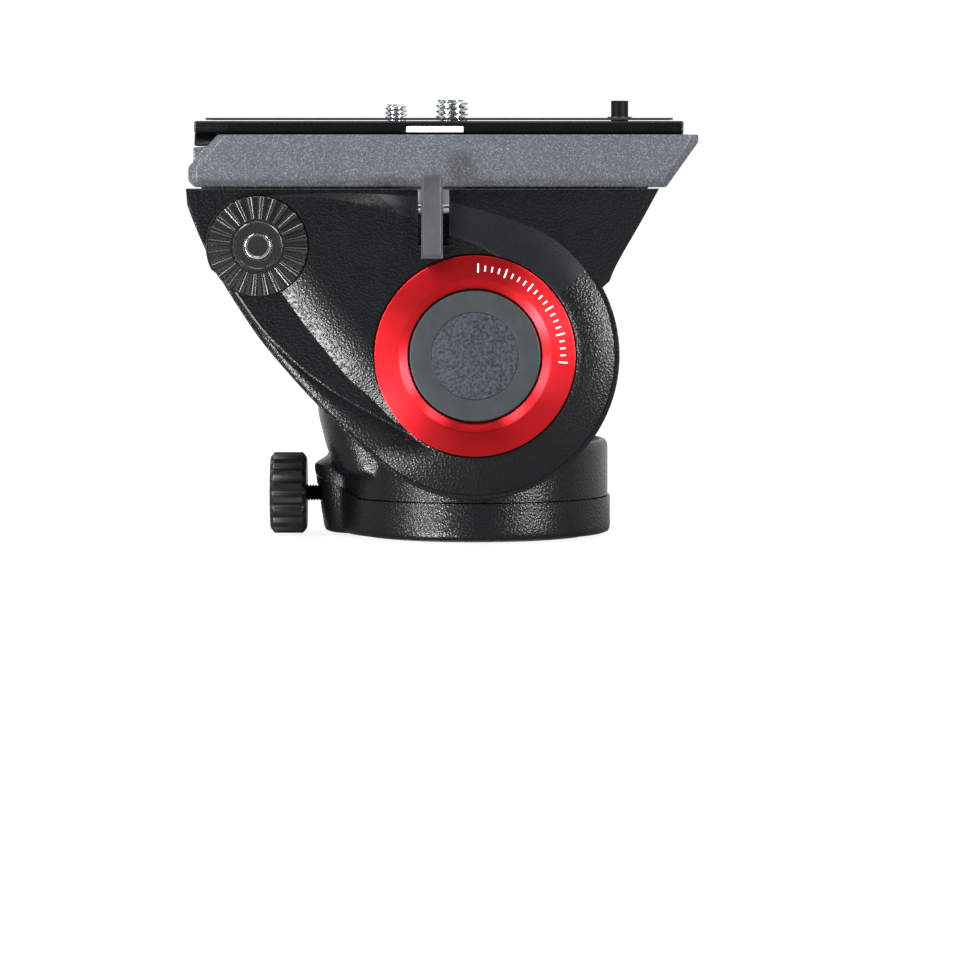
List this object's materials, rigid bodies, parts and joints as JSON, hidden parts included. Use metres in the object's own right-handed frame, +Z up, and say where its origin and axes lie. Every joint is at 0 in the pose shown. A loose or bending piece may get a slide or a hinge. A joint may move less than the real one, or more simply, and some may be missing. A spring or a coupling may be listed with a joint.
{
  "type": "fluid video head",
  "caption": "Tripod head for a video camera with a turning base, a tilting cradle with drag units, side rosettes and a sliding camera plate.",
  "frame": {"origin": "on the pan axis at the underside of the base", "axes": "+Z up along the pan axis, +X towards the lens side, +Y towards the operator's left, which is the tilt axis"},
  "size_m": [0.1451, 0.1052, 0.1262],
  "materials": {
    "black_casting": "aluminium casting under a fine textured black powder coat",
    "grey_casting": "aluminium casting in grey paint with fine metallic flake",
    "red_anodised": "red anodised, turned",
    "charcoal_plastic": "satin charcoal",
    "zinc_steel": "bright zinc plate",
    "bronze": "sintered bronze",
    "machined_alloy": "turned alloy",
    "lever_alloy": "satin nickel grey",
    "black_plastic": "ribbed black nylon",
    "black_rubber": "matt rubber",
    "pale_plastic": "pale smooth plastic",
    "level_liquid": "clear green level vial",
    "friction_lining": "pressed friction lining",
    "safety_red": "red button"
  },
  "bodies": {
    "base": {"base_plate": "machined_alloy", "tripod_thread_bush": "zinc_steel", "pan_spindle": "zinc_steel", "spindle_washer": "zinc_steel", "spindle_nut": "zinc_steel"},
    "pan_body": {"pan_housing": "black_casting", "housing_skirt": "black_casting", "pan_bush": "bronze", "pan_thrust_washer": "friction_lining", "bubble_cup": "black_plastic", "bubble_vial": "level_liquid", "right_tilt_bush": "bronze", "left_tilt_bush": "bronze", "tilt_drag_stator": "machined_alloy", "counterbalance_spring": "zinc_steel"},
    "pan_shoe": {"pan_brake_shoe": "friction_lining"},
    "pan_knob": {"pan_lock_knob": "black_plastic", "pan_lock_screw": "zinc_steel"},
    "tilt_body": {"right_cheek": "black_casting", "left_cheek": "black_casting", "right_rosette": "black_casting", "left_rosette": "black_casting", "right_rosette_bush": "zinc_steel", "left_rosette_bush": "zinc_steel", "right_drag_ring": "red_anodised", "left_drag_ring": "red_anodised", "right_cap": "charcoal_plastic", "left_cap": "charcoal_plastic", "right_inlay": "charcoal_plastic", "tilt_axle": "zinc_steel", "tilt_drag_rotor": "machined_alloy", "platform": "grey_casting", "plate_lever_pin": "zinc_steel"},
    "plate_lever": {"plate_lever": "lever_alloy"},
    "plate_jaw": {"plate_clamp_jaw": "machined_alloy"},
    "tilt_disc": {"tilt_pressure_disc": "friction_lining"},
    "tilt_lever": {"tilt_lock_lever": "black_plastic", "tilt_lock_screw": "zinc_steel"},
    "catch": {"safety_catch": "safety_red"},
    "plate": {"camera_plate": "black_casting", "top_pad": "black_rubber", "right_index_insert": "pale_plastic", "left_index_insert": "pale_plastic", "pin_bush": "black_plastic", "pin_spring": "zinc_steel"},
    "pin": {"anti_twist_pin": "black_plastic"},
    "small_slider": {"small_screw_slider": "zinc_steel"},
    "large_slider": {"large_screw_slider": "zinc_steel"},
    "small_screw": {"small_camera_screw": "zinc_steel"},
    "large_screw": {"large_camera_screw": "zinc_steel"}
  },
  "joints": [
    {"name": "pan", "type": "hinge", "parent": "base", "child": "pan_body", "pos_m": [0, 0, 0], "axis": [0, 0, 1], "continuous": true},
    {"name": "pan_lock_turn", "type": "hinge", "parent": "pan_shoe", "child": "pan_knob", "pos_m": [-0.049, 0, 0.012], "axis": [1, 0, 0], "range_deg": [0, 225]},
    {"name": "pan_shoe_slide", "type": "slide", "parent": "pan_body", "child": "pan_shoe", "axis": [1, 0, 0], "range_m": [0, 0.0005]},
    {"name": "tilt", "type": "hinge", "parent": "pan_body", "child": "tilt_body", "pos_m": [0, 0, 0.0538], "axis": [0, 1, 0], "range_deg": [-60, 90]},
    {"name": "tilt_lock_turn", "type": "hinge", "parent": "tilt_body", "child": "tilt_lever", "pos_m": [0, 0, 0.0538], "axis": [0, 1, 0], "range_deg": [0, 50]},
    {"name": "tilt_disc_slide", "type": "slide", "parent": "tilt_body", "child": "tilt_disc", "axis": [0, -1, 0], "range_m": [0, 0.0004]},
    {"name": "plate_lever_swing", "type": "hinge", "parent": "tilt_body", "child": "plate_lever", "pos_m": [-0.0121, -0.0414, 0.0955], "axis": [-1, 0, 0], "range_deg": [0, 50]},
    {"name": "plate_jaw_slide", "type": "slide", "parent": "tilt_body", "child": "plate_jaw", "axis": [0, -1, 0], "range_m": [0, 0.00035]},
    {"name": "safety_catch_press", "type": "slide", "parent": "tilt_body", "child": "catch", "axis": [0, -1, 0], "range_m": [0, 0.0016], "stiffness_N_per_m": 600, "springref_m": -0.001},
    {"name": "plate_slide", "type": "slide", "parent": "tilt_body", "child": "plate", "axis": [1, 0, 0], "range_m": [-0.045, 0.025]},
    {"name": "pin_press", "type": "slide", "parent": "plate", "child": "pin", "axis": [0, 0, 1], "range_m": [-0.003, 0], "stiffness_N_per_m": 500, "springref_m": 0.001, "deforming": ["pin_spring"]},
    {"name": "small_screw_slide", "type": "slide", "parent": "plate", "child": "small_slider", "axis": [1, 0, 0], "range_m": [-0.018, 0.0008]},
    {"name": "large_screw_slide", "type": "slide", "parent": "plate", "child": "large_slider", "axis": [1, 0, 0], "range_m": [-0.0004, 0.026]},
    {"name": "small_screw_turn", "type": "hinge", "parent": "small_slider", "child": "small_screw", "pos_m": [-0.0229, 0, 0.118], "axis": [0, 0, 1], "continuous": true},
    {"name": "large_screw_turn", "type": "hinge", "parent": "large_slider", "child": "large_screw", "pos_m": [-0.0066, 0, 0.118], "axis": [0, 0, 1], "continuous": true}
  ],
  "couplings": [
    {"joint": "pan_shoe_slide", "follows": "pan_lock_turn", "m_per_rad": 0.000127},
    {"joint": "tilt_disc_slide", "follows": "tilt_lock_turn", "m_per_rad": 0.00045},
    {"joint": "plate_jaw_slide", "follows": "plate_lever_swing", "m_per_rad": 0.0004}
  ]
}
